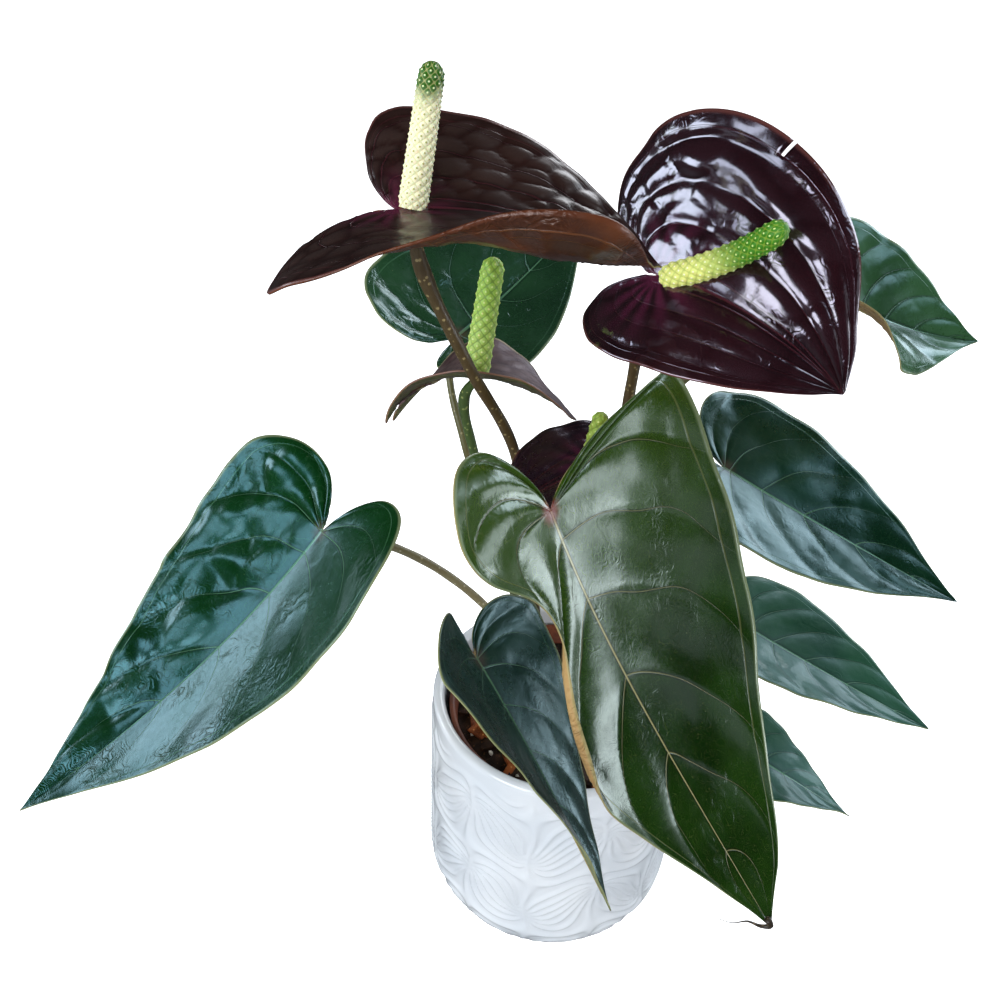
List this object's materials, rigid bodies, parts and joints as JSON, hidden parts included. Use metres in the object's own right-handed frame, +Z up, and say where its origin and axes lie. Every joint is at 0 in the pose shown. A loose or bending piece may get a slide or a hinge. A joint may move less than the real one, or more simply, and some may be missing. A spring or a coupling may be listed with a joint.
{
  "type": "potted anthurium",
  "caption": "House plant with dark heart-shaped leaves and near-black flowers on thin stalks, standing in a white glazed pot with embossed leaf ribs.",
  "frame": {"origin": "centre of the pot's flat base, on the ground", "axes": "+Z up; -Y towards the plant's front, where the largest leaf hangs over the pot; +X to the right seen from the front"},
  "size_m": [0.38, 0.2621, 0.4262],
  "materials": {
    "pot": "gloss",
    "nursery_pot": "matte",
    "potting_mix": "matte",
    "crown": "matte",
    "leaf_left": "satin",
    "leaf_left_stalk": "satin",
    "leaf_front": "satin",
    "leaf_front_stalk": "satin",
    "leaf_small_front": "satin",
    "leaf_small_front_stalk": "satin",
    "leaf_right_upper": "satin",
    "leaf_right_upper_stalk": "satin",
    "leaf_right_middle": "satin",
    "leaf_right_middle_stalk": "satin",
    "leaf_right_low": "satin",
    "leaf_right_low_stalk": "satin",
    "leaf_back_right": "satin",
    "leaf_back_right_stalk": "satin",
    "leaf_back_left": "satin",
    "leaf_back_left_stalk": "satin",
    "flower_left_spathe": "gloss",
    "flower_left_spadix": "satin",
    "flower_left_stalk": "satin",
    "flower_right_spathe": "gloss",
    "flower_right_spadix": "satin",
    "flower_right_stalk": "satin",
    "flower_young_spathe": "gloss",
    "flower_young_spadix": "satin",
    "flower_young_stalk": "satin",
    "flower_hidden_spathe": "gloss",
    "flower_hidden_spadix": "satin",
    "flower_hidden_stalk": "satin"
  },
  "bodies": {
    "root": {"pot": "pot", "nursery_pot": "nursery_pot", "potting_mix": "potting_mix", "crown": "crown", "leaf_left": "leaf_left", "leaf_left_stalk": "leaf_left_stalk", "leaf_front": "leaf_front", "leaf_front_stalk": "leaf_front_stalk", "leaf_small_front": "leaf_small_front", "leaf_small_front_stalk": "leaf_small_front_stalk", "leaf_right_upper": "leaf_right_upper", "leaf_right_upper_stalk": "leaf_right_upper_stalk", "leaf_right_middle": "leaf_right_middle", "leaf_right_middle_stalk": "leaf_right_middle_stalk", "leaf_right_low": "leaf_right_low", "leaf_right_low_stalk": "leaf_right_low_stalk", "leaf_back_right": "leaf_back_right", "leaf_back_right_stalk": "leaf_back_right_stalk", "leaf_back_left": "leaf_back_left", "leaf_back_left_stalk": "leaf_back_left_stalk", "flower_left_spathe": "flower_left_spathe", "flower_left_spadix": "flower_left_spadix", "flower_left_stalk": "flower_left_stalk", "flower_right_spathe": "flower_right_spathe", "flower_right_spadix": "flower_right_spadix", "flower_right_stalk": "flower_right_stalk", "flower_young_spathe": "flower_young_spathe", "flower_young_spadix": "flower_young_spadix", "flower_young_stalk": "flower_young_stalk", "flower_hidden_spathe": "flower_hidden_spathe", "flower_hidden_spadix": "flower_hidden_spadix", "flower_hidden_stalk": "flower_hidden_stalk"}
  },
  "joints": []
}
